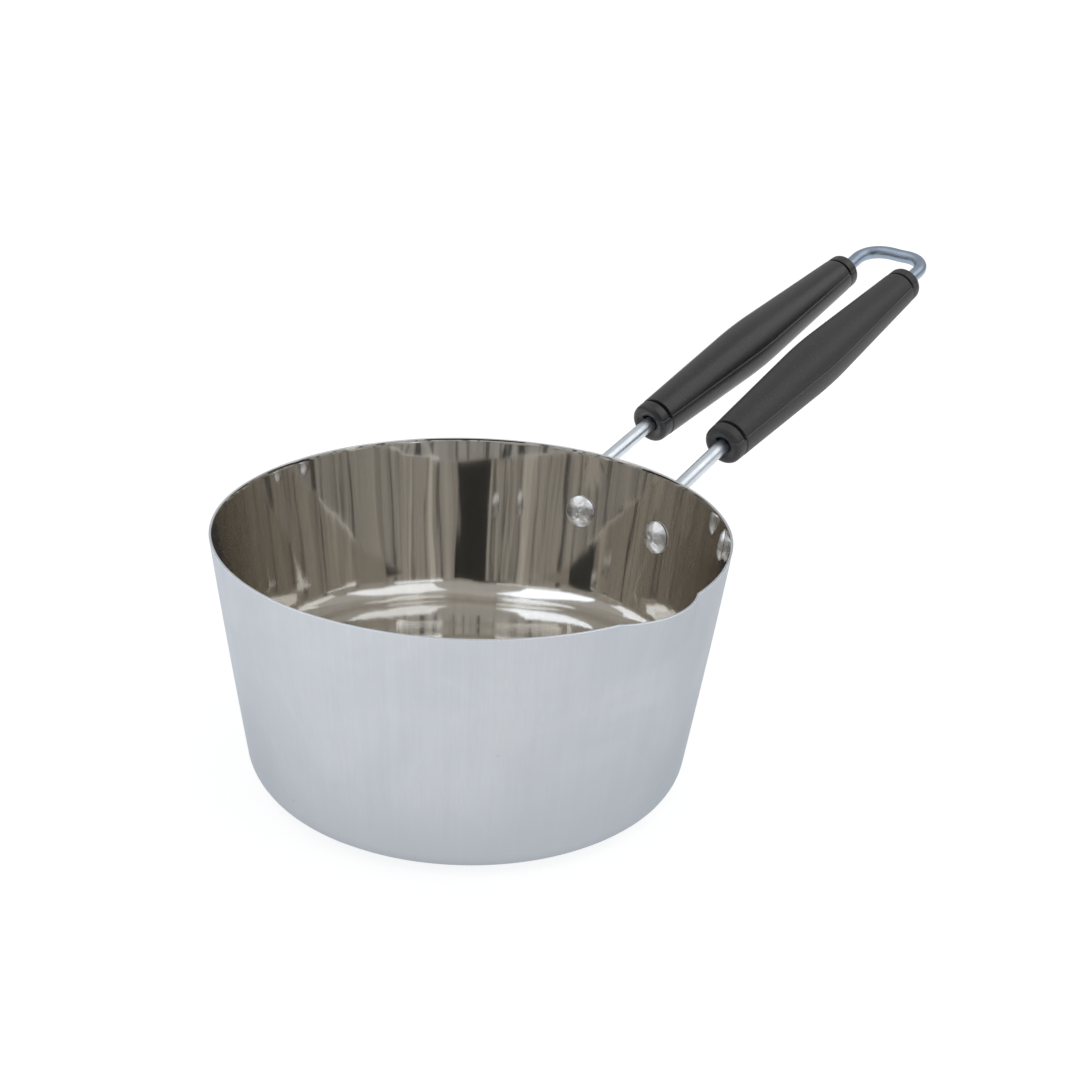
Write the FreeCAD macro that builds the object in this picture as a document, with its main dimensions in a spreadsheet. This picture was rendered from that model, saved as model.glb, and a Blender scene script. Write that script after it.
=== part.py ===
import FreeCAD, Part
import math
import os
import Sketcher

# Candle melting pot: a deep-drawn sheet steel pan with one pouring lip, and a
# straight handle made from a single bent wire. Both ends of the wire are
# flattened and riveted to the outside of the wall. Each leg of the wire
# carries a barrel-shaped grip made of an upper and a lower shell.
#
# Frame: origin at the centre of the underside of the base, +Z up, the handle
# points along +X. The pouring lip is near -Y. "Left" is +Y. Millimetres.

os.makedirs("parts", exist_ok=True)

doc = FreeCAD.newDocument("melting_pot")
V = FreeCAD.Vector
SIDES = (("left", 1), ("right", -1))

# ---------------------------------------------------------------- dimensions
# alias, value, note
DIMENSIONS = [
    # pan
    ("rim_radius", 80.0, "outside radius at the rim"),
    ("body_height", 81.4, "underside of base to rim"),
    ("wall_lean", 7.55, "half angle of the conical wall, degrees"),
    ("corner_radius", 9.6, "outside radius between wall and base"),
    ("gauge", 0.8, "sheet thickness"),
    ("inner_overrun", 3.0, "inner form carried on above the rim"),
    # pouring lip
    ("lip_azimuth", -95.9, "direction of the lip from +X, degrees"),
    ("lip_radius", 28.5, "radius of the round trough that forms the lip"),
    ("lip_reach", 83.5, "lip tip from the pan axis, at the rim"),
    ("lip_lean", 18.1, "lean of the trough from vertical, degrees"),
    ("trough_length", 60.0, "trough, along its axis"),
    ("trough_below_rim", 34.0, "trough's lower end below the rim, along its axis"),
    # rivets
    ("rivet_height", 60.0, "rivet centre above the base"),
    ("rivet_azimuth", 12.45, "rivet centre from +X, degrees, each side"),
    ("rivet_shank_radius", 2.4, "rivet shank"),
    ("rivet_hole_radius", 2.45, "holes for the rivet shank"),
    ("rivet_drill_length", 14.0, "tool for the holes, centred on the wall"),
    ("rivet_head_radius", 5.2, "domed head inside the pan"),
    ("rivet_head_rise", 3.2, "height of the domed head"),
    ("rivet_tail_radius", 4.0, "peened tail outside the paddle"),
    ("rivet_tail_rise", 1.5, "height of the peened tail"),
    ("rivet_seat_gap", 0.21, "head underside clear of the inside of the wall"),
    ("rivet_tail_gap", 0.02, "tail clear of the paddle"),
    # handle wire
    ("wire_radius", 2.5, "wire"),
    ("wire_gap", 0.06, "climbing wire clear of the wall"),
    ("wire_foot_rise", 7.8, "end of the round wire above the rivet centre"),
    ("wire_bend_radius", 6.5, "bend at the wall, centre line"),
    ("wire_kink_radius", 60.0, "bend where the wire enters the grip, centre line"),
    ("paddle_width", 10.4, "flattened end, width"),
    ("paddle_thick", 2.0, "flattened end, thickness"),
    ("paddle_gap", 0.03, "flattened end clear of the wall"),
    ("paddle_plate_long", 3.4, "straight part of the paddle above the rivet"),
    ("neck_rise", 3.2, "flat end of the neck above the rivet"),
    ("neck_lap", 0.5, "overlap of neck and round wire"),
    ("neck_swell", 0.04, "neck's round end larger than the wire, on radius"),
    ("neck_inset", 0.06, "neck's flat end inside the paddle, all round"),
    ("leg_converge", 1.02, "legs closing towards the loop, degrees"),
    ("leg_slope_front", 18.8, "rise of the bare wire, degrees"),
    ("leg_slope", 16.45, "rise of the gripped wire, degrees"),
    ("loop_corner_radius", 10.0, "corner of the hanging loop, centre line"),
    ("loop_reach", 253.9, "centre line of the loop's end bar from the axis"),
    # grips
    ("grip_start_x", 110.7, "front face of the grips"),
    ("grip_start_z", 83.57, "height of the grip axis at its front face"),
    ("grip_length", 129.7, "grip, end to end"),
    ("grip_front_radius", 7.5, "barrel radius behind the front collar"),
    ("grip_mid_radius", 9.72, "barrel radius at its widest"),
    ("grip_mid_x", 62.0, "widest section from the front face"),
    ("grip_rear_radius", 7.05, "barrel radius at the rear collar"),
    ("crown_half", 11.0, "half length of the rounding at the widest section"),
    ("crown_trim", 0.2, "height the rounding takes off the cones' meeting"),
    ("collar_front", 4.5, "length of the front collar"),
    ("collar_rear", 4.7, "length of the rear collar"),
    ("groove_width", 1.1, "ring groove beside each collar"),
    ("groove_deep", 0.85, "depth of the ring groove"),
    ("collar_front_radius", 7.3, "front collar"),
    ("collar_rear_radius", 6.9, "rear collar"),
    ("collar_taper", 0.1, "collars narrower at the end faces, on radius"),
    ("edge_round", 1.2, "rounded outer edge of the end faces"),
    ("bore_radius", 2.6, "channel for the wire"),
    ("funnel_radius", 5.2, "mouth of the front opening"),
    ("funnel_deep", 5.5, "depth of the front opening"),
    ("channel_lap", 1.0, "channel cut started inside the front opening"),
    ("parting_rise", 2.7, "joint between the shells above the grip axis"),
    ("cut_overrun", 5.0, "joint and channel cuts carried past the ends"),
    ("joint_cut_half", 15.0, "half width of the joint cut"),
    ("peg_radius", 1.0, "locating peg"),
    ("peg_long", 2.0, "locating peg"),
    ("socket_radius", 1.08, "socket for the peg"),
    ("socket_deep", 2.25, "socket for the peg"),
    ("peg_side", 5.1, "peg centre from the grip axis"),
    ("peg_front_x", 26.0, "front pair of pegs"),
    ("peg_rear_x", 102.0, "rear pair of pegs"),
]

# alias, formula, note; rivet levels are measured outwards from the outside of
# the wall, grip stations from the front face
DERIVED = [
    ("foot_radius", "=rim_radius - body_height * tan(wall_lean)",
     "outside of the wall carried down to the base plane"),
    ("corner_centre_x",
     "=foot_radius + corner_radius * tan(wall_lean) - corner_radius / cos(wall_lean)",
     "centre of the corner arc from the axis"),
    ("inner_corner_radius", "=corner_radius - gauge", "inside corner radius"),
    ("inner_top_radius",
     "=rim_radius - gauge / cos(wall_lean) + inner_overrun * tan(wall_lean)",
     "inner form at its top"),
    ("rivet_reach", "=foot_radius + rivet_height * tan(wall_lean)",
     "rivet centre from the pan axis"),
    ("head_seat", "=-(gauge + rivet_seat_gap)", "underside of the head"),
    ("head_top", "=head_seat - rivet_head_rise", "top of the head"),
    ("head_centre",
     "=head_top + (rivet_head_radius * rivet_head_radius"
     " + rivet_head_rise * rivet_head_rise) / (2 * rivet_head_rise)",
     "centre of the head's dome"),
    ("tail_seat", "=paddle_gap + paddle_thick + rivet_tail_gap", "underside of the tail"),
    ("tail_top", "=tail_seat + rivet_tail_rise", "top of the tail"),
    ("tail_centre",
     "=tail_top - (rivet_tail_radius * rivet_tail_radius"
     " + rivet_tail_rise * rivet_tail_rise) / (2 * rivet_tail_rise)",
     "centre of the tail's dome"),
    ("barrel_start", "=collar_front + groove_width", "front end of the barrel"),
    ("collar_rear_x", "=grip_length - collar_rear", "front end of the rear collar"),
    ("barrel_end", "=collar_rear_x - groove_width", "rear end of the barrel"),
    ("cone_peak", "=grip_mid_radius + crown_trim", "radius where the two cones meet"),
    ("crown_start", "=grip_mid_x - crown_half", "front end of the rounding"),
    ("crown_end", "=grip_mid_x + crown_half", "rear end of the rounding"),
    ("crown_start_radius",
     "=cone_peak - crown_half * (cone_peak - grip_front_radius) / (grip_mid_x - barrel_start)",
     "barrel radius at the front end of the rounding"),
    ("crown_end_radius",
     "=cone_peak - crown_half * (cone_peak - grip_rear_radius) / (barrel_end - grip_mid_x)",
     "barrel radius at the rear end of the rounding"),
    ("front_edge_radius", "=collar_front_radius - edge_round", "front face, flat part"),
    ("rear_edge_x", "=grip_length - edge_round", "start of the rear rounded edge"),
    ("rear_edge_radius", "=collar_rear_radius - collar_taper - edge_round",
     "rear face, flat part"),
]

sheet = doc.addObject("Spreadsheet::Sheet", "Params")
for row, (alias, value, note) in enumerate(DIMENSIONS + DERIVED, start=1):
    sheet.set(f"A{row}", note)
    sheet.set(f"B{row}", str(value))
    sheet.setAlias(f"B{row}", alias)
doc.recompute()

probe = doc.addObject("App::FeaturePython", "Probe")
probe.addProperty("App::PropertyFloat", "Value")


# ------------------------------------------------------------------ helpers
def dim(alias):
    return float(sheet.get(alias))


def evaluate(expression):
    """Number behind an expression, so that geometry starts where it ends."""
    probe.setExpression("Value", expression)
    probe.recompute()
    return float(probe.Value)


def bind(obj, **expressions):
    for prop, expression in expressions.items():
        obj.setExpression(prop, expression)


def make(kind, name, **expressions):
    """New document object with its properties bound to expressions."""
    obj = doc.addObject(kind, name)
    bind(obj, **expressions)
    return obj


def fuse(name, shapes):
    obj = doc.addObject("Part::MultiFuse", name)
    obj.Shapes = shapes
    return obj


def combine(kind, name, base, tool):
    obj = doc.addObject(kind, name)
    obj.Base = base
    obj.Tool = tool
    return obj


def shift(x, y, z):
    return FreeCAD.Placement(V(x, y, z), FreeCAD.Rotation())


def rotated(yaw, pitch):
    """Pitch about Y first, then yaw about Z, in degrees."""
    return FreeCAD.Rotation(V(0, 0, 1), yaw) * FreeCAD.Rotation(V(0, 1, 0), pitch)


def new_sketch(body, name, role):
    sketch = body.newObject("Sketcher::SketchObject", name)
    plane = [f for f in body.Origin.OriginFeatures if f.Role == role][0]
    sketch.AttachmentSupport = [(plane, "")]
    sketch.MapMode = "FlatFace"
    return sketch


def constrain(sketch, expression, kind, *where):
    """Driving constraint whose value is bound to an expression."""
    constraint = Sketcher.Constraint(kind, *where, evaluate(expression))
    index = sketch.addConstraint(constraint)
    sketch.setExpression(f"Constraints[{index}]", expression)


def profile(sketch, corners):
    """Closed outline. Each corner is (x, y) when a line leads to the next one,
    or (x, y, (centre x, centre y, 'ccw' or 'cw')) when an arc does. All
    coordinates are expressions."""
    points = [V(evaluate(corner[0]), evaluate(corner[1]), 0) for corner in corners]
    next_points = points[1:] + points[:1]
    ends = []  # geometry index, its start vertex, its end vertex
    for corner, start, end in zip(corners, points, next_points):
        if len(corner) == 2:
            index = sketch.addGeometry(Part.LineSegment(start, end), False)
            ends.append((index, 1, 2))
            continue
        centre_x, centre_y, sense = corner[2]
        centre = V(evaluate(centre_x), evaluate(centre_y), 0)
        angles = [math.atan2(p.y - centre.y, p.x - centre.x) for p in (start, end)]
        vertices = (1, 2)
        if sense == "cw":
            angles.reverse()
            vertices = (2, 1)
        circle = Part.Circle(centre, V(0, 0, 1), (start - centre).Length)
        index = sketch.addGeometry(Part.ArcOfCircle(circle, *angles), False)
        ends.append((index, *vertices))

    for (index, _, last), (following, first, _) in zip(ends, ends[1:] + ends[:1]):
        sketch.addConstraint(
            Sketcher.Constraint("Coincident", index, last, following, first)
        )
    for corner, (index, first, _) in zip(corners, ends):
        constrain(sketch, corner[0], "DistanceX", -1, 1, index, first)
        constrain(sketch, corner[1], "DistanceY", -1, 1, index, first)
    # both ends of an arc are fixed, so one coordinate of its centre is left
    for corner, start, end, (index, _, _) in zip(corners, points, next_points, ends):
        if len(corner) == 3:
            centre_x, centre_y, _ = corner[2]
            if abs(start.y - end.y) < abs(start.x - end.x):
                constrain(sketch, centre_y, "DistanceY", -1, 1, index, 3)
            else:
                constrain(sketch, centre_x, "DistanceX", -1, 1, index, 3)


def rectangle(sketch, x_start, x_end, half_width):
    """Rectangle that straddles the sketch's X axis."""
    low = "-" + half_width
    profile(
        sketch, [(x_start, low), (x_end, low), (x_end, half_width), (x_start, half_width)]
    )


def revolved_body(body_name, name, corners, axis):
    """Body turned from an outline in its XZ plane."""
    body = doc.addObject("PartDesign::Body", body_name)
    sketch = new_sketch(body, name + "_profile", "XZ_Plane")
    profile(sketch, corners)
    feature = body.newObject("PartDesign::Revolution", name + "_revolution")
    feature.Profile = sketch
    feature.ReferenceAxis = (sketch, [axis])
    feature.Angle = 360.0
    feature.Midplane = False
    return body


# -------------------------------------------------------------------- pan
# The outside and the inside of the pan are two nested forms, one sheet
# thickness apart. Each is a base, a corner arc and a conical wall, with a
# leaning round trough that bulges through the wall to form the lip.
def pan_form(name, base_z, corner_radius, top_x, top_z):
    centre_x, centre_z = "Params.corner_centre_x", "Params.corner_radius"
    corners = [
        ("0", base_z),
        (centre_x, base_z, (centre_x, centre_z, "ccw")),
        (
            f"{centre_x} + {corner_radius} * cos(Params.wall_lean)",
            f"{centre_z} - {corner_radius} * sin(Params.wall_lean)",
        ),
        (top_x, top_z),
        ("0", top_z),
    ]
    return revolved_body(name + "_form", name, corners, "V_Axis")


def trough(name, radius):
    """Leaning cylinder; at lip_radius its outermost line meets the lip's tip."""
    cylinder = make("Part::Cylinder", name, Radius=radius, Height="Params.trough_length")
    tilt = math.radians(dim("lip_lean"))
    azimuth = math.radians(dim("lip_azimuth"))
    below = dim("trough_below_rim")
    reach = dim("lip_reach") - dim("lip_radius") / math.cos(tilt) - below * math.sin(tilt)
    cylinder.Placement = FreeCAD.Placement(
        V(
            reach * math.cos(azimuth),
            reach * math.sin(azimuth),
            dim("body_height") - below * math.cos(tilt),
        ),
        rotated(dim("lip_azimuth"), dim("lip_lean")),
    )
    return cylinder


def build_pot(drills):
    outer_form = pan_form(
        "outer", "0", "Params.corner_radius", "Params.rim_radius", "Params.body_height"
    )
    inner_form = pan_form(
        "inner",
        "Params.gauge",
        "Params.inner_corner_radius",
        "Params.inner_top_radius",
        "Params.body_height + Params.inner_overrun",
    )
    doc.recompute()
    lip_outer = trough("lip_outer", "Params.lip_radius")
    lip_inner = trough("lip_inner", "Params.lip_radius - Params.gauge")

    # the outer trough stands above the rim and is cut level with it
    outer_all = fuse("outer_all", [outer_form, lip_outer])
    rim_cut = make(
        "Part::Cylinder", "rim_cut", Radius="Params.rim_radius * 2", Height="Params.body_height"
    )
    outer_trim = combine("Part::Common", "outer_trim", outer_all, rim_cut)
    inner_all = fuse("inner_all", [inner_form, lip_inner])
    pan_shell = combine("Part::Cut", "pan_shell", outer_trim, inner_all)
    combine("Part::Cut", "pot_body", pan_shell, drills)


# ------------------------------------------------------------------ rivets
def rivet_placement(side):
    """Local +Z leaves the wall outwards, local +X runs down the wall."""
    azimuth = side * dim("rivet_azimuth")
    angle = math.radians(azimuth)
    reach = dim("rivet_reach")
    return FreeCAD.Placement(
        V(reach * math.cos(angle), reach * math.sin(angle), dim("rivet_height")),
        rotated(azimuth, 90.0 + dim("wall_lean")),
    )


def rivet_drill(name, side):
    tool = make(
        "Part::Cylinder",
        name,
        Radius="Params.rivet_hole_radius",
        Height="Params.rivet_drill_length",
    )
    tool.Placement = rivet_placement(side) * shift(0, 0, -dim("rivet_drill_length") / 2.0)
    return tool


def build_rivet(name, side):
    """Domed head inside the pan, shank through wall and paddle, peened tail."""
    corners = [
        ("0", "Params.head_top", ("0", "Params.head_centre", "ccw")),
        ("Params.rivet_head_radius", "Params.head_seat"),
        ("Params.rivet_shank_radius", "Params.head_seat"),
        ("Params.rivet_shank_radius", "Params.tail_seat"),
        ("Params.rivet_tail_radius", "Params.tail_seat", ("0", "Params.tail_centre", "ccw")),
        ("0", "Params.tail_top"),
    ]
    body = revolved_body(name, name, corners, "V_Axis")
    body.Placement = rivet_placement(side)


# -------------------------------------------------------- leg centre line
# Each leg lies in its own upright plane through its rivet. The centre line
# climbs the wall, bends outwards, rises through the grip, turns through the
# hanging loop and comes back down the other leg. Points here are on the left
# leg.
wall_lean = math.radians(dim("wall_lean"))
converge = math.radians(dim("leg_converge"))
rivet_at = rivet_placement(1).Base
grip_x, grip_z = dim("grip_start_x"), dim("grip_start_z")


def leg_point(x, z):
    """Point of the leg's plane at distance x from the pan axis along X."""
    return V(x, rivet_at.y - (x - rivet_at.x) * math.tan(converge), z)


def wall_point(z):
    """Point of the leg's plane at height z where the wire just clears the wall."""
    offset = dim("wire_radius") + dim("wire_gap")
    want = dim("foot_radius") + z * math.tan(wall_lean) + offset / math.cos(wall_lean)
    x = rivet_at.x
    for _ in range(20):
        x += (want - math.hypot(x, leg_point(x, z).y)) / (x / want)
    return leg_point(x, z)


def wall_corner():
    """Corner where the climbing line meets the bare rising wire."""
    slope = math.tan(math.radians(dim("leg_slope_front")))
    corner = V(dim("rim_radius"), 0, 0)  # first guess
    for _ in range(40):
        corner = wall_point(grip_z - (grip_x - corner.x) * slope)
    return corner


foot = wall_point(dim("rivet_height") + dim("wire_foot_rise"))
grip_start = leg_point(grip_x, grip_z)
loop_corner = leg_point(
    dim("loop_reach"),
    grip_z + (dim("loop_reach") - grip_x) * math.tan(math.radians(dim("leg_slope"))),
)
# rise of the gripped leg measured inside its own upright plane
grip_pitch = math.degrees(math.asin((loop_corner - grip_start).normalize().z))


# ------------------------------------------------------------- handle wire
def fillet_points(before, corner, after, radius):
    """Start, middle and end of an arc that rounds the corner."""
    to_before = (before - corner).normalize()
    to_after = (after - corner).normalize()
    half = to_before.getAngle(to_after) / 2.0
    back = radius / math.tan(half)
    inwards = (to_before + to_after).normalize()
    centre = corner + inwards * (radius / math.sin(half))
    return corner + to_before * back, centre - inwards * radius, corner + to_after * back


def edge(points):
    """Line through two points or arc through three."""
    curve = Part.Arc if len(points) == 3 else Part.LineSegment
    return curve(*points).toShape()


def mirrored(points):
    """The points in reverse order on the other leg."""
    return [V(p.x, -p.y, p.z) for p in reversed(points)]


def build_bent_wire():
    """Round wire from foot to foot. Returns it and its direction at the left foot."""
    corner = wall_corner()
    loop_middle = V(loop_corner.x, 0, loop_corner.z)
    bend = fillet_points(foot, corner, grip_start, dim("wire_bend_radius"))
    kink = fillet_points(corner, grip_start, loop_corner, dim("wire_kink_radius"))
    turn = fillet_points(grip_start, loop_corner, loop_middle, dim("loop_corner_radius"))

    leg = [(foot, bend[0]), bend, (bend[2], kink[0]), kink, (kink[2], turn[0]), turn]
    end_bar = (turn[2], mirrored([turn[2]])[0])
    other_leg = [mirrored(points) for points in reversed(leg)]
    edges = [edge(points) for points in leg + [end_bar] + other_leg]
    spine = doc.addObject("Part::Feature", "wire_centre_line")
    spine.Shape = Part.Wire(edges)

    climb = (bend[0] - foot).normalize()
    section = make("Part::Circle", "wire_section", Radius="Params.wire_radius")
    section.Placement = FreeCAD.Placement(foot, FreeCAD.Rotation(V(0, 0, 1), climb))

    wire = doc.addObject("Part::Sweep", "bent_wire")
    wire.Sections = [section]
    wire.Spine = (spine, [f"Edge{i + 1}" for i in range(len(edges))])
    wire.Solid = True
    wire.Frenet = False
    wire.Transition = "Transformed"
    return wire, climb


def build_paddle(climb):
    """Left flattened end: the round section flows into a flat oval, then into
    a flat paddle with a round end."""
    place = rivet_placement(1)
    gap = dim("paddle_gap")

    neck_round = make(
        "Part::Circle", "neck_round", Radius="Params.wire_radius + Params.neck_swell"
    )
    neck_round.Placement = FreeCAD.Placement(
        foot + climb * dim("neck_lap"), FreeCAD.Rotation(V(0, 0, 1), climb)
    )
    neck_flat = make(
        "Part::Ellipse",
        "neck_flat",
        MajorRadius="Params.paddle_width / 2 - Params.neck_inset",
        MinorRadius="Params.paddle_thick / 2 - Params.neck_inset",
    )
    # ellipse plane normal runs up the wall, its long axis lies along the wall
    neck_flat.Placement = place * FreeCAD.Placement(
        V(-dim("neck_rise"), 0, gap + dim("paddle_thick") / 2.0),
        FreeCAD.Rotation(V(0, 1, 0), V(0, 0, 1), V(-1, 0, 0), "ZXY"),
    )
    neck = doc.addObject("Part::Loft", "neck_left")
    neck.Sections = [neck_round, neck_flat]
    neck.Solid = True
    neck.Ruled = False

    disc = make(
        "Part::Cylinder",
        "paddle_disc",
        Radius="Params.paddle_width / 2",
        Height="Params.paddle_thick",
    )
    disc.Placement = place * shift(0, 0, gap)
    plate = make(
        "Part::Box",
        "paddle_plate",
        Length="Params.paddle_plate_long",
        Width="Params.paddle_width",
        Height="Params.paddle_thick",
    )
    plate.Placement = place * shift(
        -dim("paddle_plate_long"), -dim("paddle_width") / 2.0, gap
    )
    return fuse("paddle_left", [neck, disc, plate])


def build_handle_wire(drills):
    bent_wire, climb = build_bent_wire()
    paddle_left = build_paddle(climb)
    paddle_right = doc.addObject("Part::Mirroring", "paddle_right")
    paddle_right.Source = paddle_left
    paddle_right.Normal = V(0, 1, 0)
    paddle_right.Base = V(0, 0, 0)
    wire_blank = fuse("wire_blank", [bent_wire, paddle_left, paddle_right])
    combine("Part::Cut", "handle_wire", wire_blank, drills)


# -------------------------------------------------------------------- grips
# Local frame of a grip: X along the wire from the front face, Z square to the
# handle's plane. Upper and lower shells meet on a plane above the axis, so
# the wire lies wholly in the lower shell's channel.
def crown_centre():
    """Centre of the circle through both ends of the rounding and the widest point."""
    centre = Part.Circle(
        V(dim("crown_start"), dim("crown_start_radius"), 0),
        V(dim("grip_mid_x"), dim("grip_mid_radius"), 0),
        V(dim("crown_end"), dim("crown_end_radius"), 0),
    ).Center
    return f"{centre.x:.6f}", f"{centre.y:.6f}"


def grip_outline():
    """Half section of a whole grip: (station, radius), front to rear and back
    along the bore."""
    front_groove = "Params.grip_front_radius - Params.groove_deep"
    rear_groove = "Params.grip_rear_radius - Params.groove_deep"
    front_arc = ("Params.edge_round", "Params.front_edge_radius", "cw")
    rear_arc = ("Params.rear_edge_x", "Params.rear_edge_radius", "cw")
    return [
        ("0", "Params.funnel_radius"),
        ("0", "Params.front_edge_radius", front_arc),
        ("Params.edge_round", "Params.collar_front_radius"),
        ("Params.collar_front", "Params.collar_front_radius + Params.collar_taper"),
        ("Params.collar_front", front_groove),
        ("Params.barrel_start", front_groove),
        ("Params.barrel_start", "Params.grip_front_radius"),
        ("Params.crown_start", "Params.crown_start_radius", (*crown_centre(), "cw")),
        ("Params.crown_end", "Params.crown_end_radius"),
        ("Params.barrel_end", "Params.grip_rear_radius"),
        ("Params.barrel_end", rear_groove),
        ("Params.collar_rear_x", rear_groove),
        ("Params.collar_rear_x", "Params.collar_rear_radius"),
        ("Params.rear_edge_x", "Params.collar_rear_radius - Params.collar_taper", rear_arc),
        ("Params.grip_length", "Params.rear_edge_radius"),
        ("Params.grip_length", "Params.bore_radius"),
        ("Params.funnel_deep", "Params.bore_radius"),
    ]


def joint_sketch(body, name):
    """Sketch on the plane where the two shells meet."""
    sketch = new_sketch(body, name + "_sketch", "XY_Plane")
    sketch.setExpression("AttachmentOffset.Base.z", "Params.parting_rise")
    return sketch


def build_grip_shell(name, upper, side):
    body = revolved_body(name, name, grip_outline(), "H_Axis")
    doc.recompute()
    rear = "Params.grip_length + Params.cut_overrun"

    # keep only this shell's side of the joint plane
    sketch = joint_sketch(body, name + "_joint")
    rectangle(sketch, "-Params.cut_overrun", rear, "Params.joint_cut_half")
    joint = body.newObject("PartDesign::Pocket", name + "_joint")
    joint.Profile = sketch
    joint.Type = 1  # through all
    joint.Reversed = not upper
    doc.recompute()

    if not upper:
        # open the bore up to the joint plane
        sketch = joint_sketch(body, name + "_channel")
        front = "Params.funnel_deep - Params.channel_lap"
        rectangle(sketch, front, rear, "Params.bore_radius")
        channel = body.newObject("PartDesign::Pocket", name + "_channel")
        channel.Profile = sketch
        bind(channel, Length="Params.parting_rise")
        doc.recompute()

    # pegs hang from the upper shell into sockets in the lower one
    sketch = joint_sketch(body, name + "_pin")
    radius = "Params.peg_radius" if upper else "Params.socket_radius"
    for x in ("Params.peg_front_x", "Params.peg_rear_x"):
        for y in ("Params.peg_side", "-Params.peg_side"):
            circle = Part.Circle(V(evaluate(x), evaluate(y), 0), V(0, 0, 1), evaluate(radius))
            index = sketch.addGeometry(circle, False)
            constrain(sketch, x, "DistanceX", -1, 1, index, 3)
            constrain(sketch, y, "DistanceY", -1, 1, index, 3)
            constrain(sketch, radius, "Radius", index)
    if upper:
        pegs = body.newObject("PartDesign::Pad", name + "_pegs")
        pegs.Profile = sketch
        bind(pegs, Length="Params.peg_long")
        pegs.Reversed = True
    else:
        sockets = body.newObject("PartDesign::Pocket", name + "_sockets")
        sockets.Profile = sketch
        bind(sockets, Length="Params.socket_deep")
    doc.recompute()

    body.Placement = FreeCAD.Placement(
        V(grip_start.x, side * grip_start.y, grip_start.z),
        rotated(-side * dim("leg_converge"), -grip_pitch),
    )


# -------------------------------------------------------------------- build
# the same two drills make the holes in the pan and in the paddles
rivet_drills = fuse("drills", [rivet_drill(f"drill_{word}", side) for word, side in SIDES])
build_pot(rivet_drills)
build_handle_wire(rivet_drills)
for word, side in SIDES:
    build_rivet(f"rivet_{word}", side)
    build_grip_shell(f"grip_upper_{word}", True, side)
    build_grip_shell(f"grip_lower_{word}", False, side)

doc.removeObject(probe.Name)
doc.recompute()

# ------------------------------------------------------------------- export
for obj in doc.Objects:
    if "Invalid" in obj.State or "Error" in obj.State:
        raise RuntimeError(f"failed object: {obj.Name} {obj.State}")

NODES = [
    "pot_body",
    "handle_wire",
    "grip_upper_left",
    "grip_lower_left",
    "grip_upper_right",
    "grip_lower_right",
    "rivet_left",
    "rivet_right",
]
for name in NODES:
    shape = doc.getObject(name).Shape
    if shape.isNull() or not shape.isValid():
        raise RuntimeError(f"bad shape: {name}")
    if len(shape.Solids) != 1:
        raise RuntimeError(f"{name} has {len(shape.Solids)} solids")
    shape.exportStep(f"parts/{name}.step")
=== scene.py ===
# A round sheet-steel pan with a pressed lip and a looped wire handle. The pan
# stands on z = 0 with its axis on Z. The handle rises towards +X: its two legs,
# left at +Y and right at -Y, are riveted to the wall and each carries a grip of
# two plastic shells. The lip points nearly along -Y.
# Shapes are in millimetres, shader distances in metres.
import math

import bmesh
import bpy
import numpy as np
from mathutils import Matrix, Vector


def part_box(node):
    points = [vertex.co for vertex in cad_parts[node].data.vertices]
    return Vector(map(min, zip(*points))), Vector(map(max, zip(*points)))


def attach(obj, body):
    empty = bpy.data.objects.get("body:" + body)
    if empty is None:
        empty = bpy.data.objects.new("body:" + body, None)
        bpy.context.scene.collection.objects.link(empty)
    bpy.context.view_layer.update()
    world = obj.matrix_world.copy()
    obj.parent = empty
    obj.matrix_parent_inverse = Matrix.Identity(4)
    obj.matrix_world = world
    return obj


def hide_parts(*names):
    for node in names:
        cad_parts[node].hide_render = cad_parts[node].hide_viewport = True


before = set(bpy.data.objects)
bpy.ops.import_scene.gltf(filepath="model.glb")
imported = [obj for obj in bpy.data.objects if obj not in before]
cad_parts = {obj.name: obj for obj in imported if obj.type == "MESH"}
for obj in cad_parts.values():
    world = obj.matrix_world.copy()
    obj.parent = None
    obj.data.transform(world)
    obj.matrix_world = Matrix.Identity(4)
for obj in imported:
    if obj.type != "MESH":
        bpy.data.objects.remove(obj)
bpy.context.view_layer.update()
scene = bpy.context.scene

# ------------------------------------------------------- driving dimensions
MM = 0.001
pot_low, pot_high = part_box("pot_body")
RIM_R = pot_high.x / MM
HEIGHT = pot_high.z / MM
LEAN = math.radians(7.55)  # wall from the vertical
CORNER_R = 9.6  # outside, between floor and wall
GAUGE = 0.8
FOOT_R = RIM_R - HEIGHT * math.tan(LEAN)  # the wall's cone at z = 0


def cone_r(z):
    """Outside radius of the wall's cone."""
    return FOOT_R + z * math.tan(LEAN)


CORNER_CENTRE = cone_r(CORNER_R) - CORNER_R / math.cos(LEAN)
LIP_AZ = math.radians(-95.9)
LIP_HALF = math.radians(11.8)
LIP_OUT = -pot_low.y / MM - RIM_R + 0.43
RIVET_Z = 60.0
RIVET_AZ = math.radians(12.45)
RIVET_R = cone_r(RIVET_Z)
WIRE_R = 2.5


# ------------------------------------------------------------ mesh helpers
def build(name, verts, faces, materials, face_slots=None, smooth=True):
    """Object in metres from points in millimetres."""
    mesh = bpy.data.meshes.new(name)
    mesh.from_pydata((np.asarray(verts, float) * MM).tolist(), [], faces)
    for mat in materials:
        mesh.materials.append(mat)
    if face_slots is not None:
        mesh.polygons.foreach_set("material_index", np.asarray(face_slots, np.int32))
    mesh.polygons.foreach_set("use_smooth", [smooth] * len(mesh.polygons))
    mesh.validate()
    mesh.update()
    obj = bpy.data.objects.new(name, mesh)
    scene.collection.objects.link(obj)
    return obj


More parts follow.
